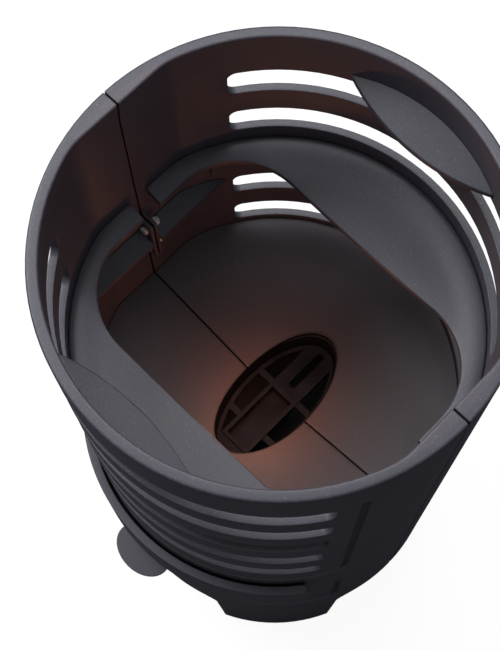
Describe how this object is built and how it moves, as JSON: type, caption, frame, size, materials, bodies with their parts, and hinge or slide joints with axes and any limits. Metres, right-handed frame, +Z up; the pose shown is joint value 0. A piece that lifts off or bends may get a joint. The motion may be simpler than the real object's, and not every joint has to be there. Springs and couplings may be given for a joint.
{
  "type": "cast iron fire column",
  "caption": "Round cast iron fire column in two bolted half shells with air slots, inner guide shelves, a split funnel, a grate and an ash drawer with a half-round pull.",
  "frame": {"origin": "on the floor, on the column's own axis", "axes": "+Z up along the axis, -Y out of the ash drawer, X across the column along the joint of the two half shells"},
  "size_m": [0.45, 0.4919, 0.965],
  "materials": {
    "shell_iron": "fine sand-cast grain under matt dark stove paint",
    "guide_iron": "fine sand-cast grain, lit blue-grey on upward faces",
    "funnel_iron": "fine cast grain with a warm heat tint towards the throat",
    "grate_iron": "rough casting, sooted",
    "tray_steel": "heat-blackened sheet",
    "sheet_steel": "black baked paint on sheet steel",
    "zinc_steel": "zinc-plated, slightly dulled"
  },
  "bodies": {
    "column": {"front_shell": "shell_iron", "back_shell": "shell_iron", "front_upper_guide": "guide_iron", "back_upper_guide": "guide_iron", "front_middle_ledge": "guide_iron", "back_middle_ledge": "guide_iron", "front_right_lower_guide": "guide_iron", "front_left_lower_guide": "guide_iron", "back_right_lower_guide": "guide_iron", "back_left_lower_guide": "guide_iron", "front_funnel_half": "funnel_iron", "back_funnel_half": "funnel_iron", "ash_floor": "sheet_steel", "right_drawer_runner": "sheet_steel", "left_drawer_runner": "sheet_steel", "drawer_stop": "sheet_steel", "seam_bolts": "zinc_steel", "seam_nuts": "zinc_steel", "seam_washers": "zinc_steel"},
    "ash_drawer": {"ash_drawer_box": "sheet_steel", "ash_drawer_front": "shell_iron", "ash_drawer_tab": "shell_iron", "drawer_front_screws": "zinc_steel", "drawer_tab_screws": "zinc_steel"},
    "grate": {"grate": "grate_iron"},
    "ember_tray": {"ember_tray": "tray_steel"}
  },
  "joints": [
    {"name": "ash_drawer_slide", "type": "slide", "parent": "column", "child": "ash_drawer", "axis": [0, -1, 0], "range_m": [0, 0.3]},
    {"name": "grate_lift", "type": "slide", "parent": "column", "child": "grate", "axis": [0, 0, 1], "range_m": [0, 0.56]},
    {"name": "ember_tray_lift", "type": "slide", "parent": "grate", "child": "ember_tray", "axis": [0, 0, 1], "range_m": [0, 0.58]}
  ]
}
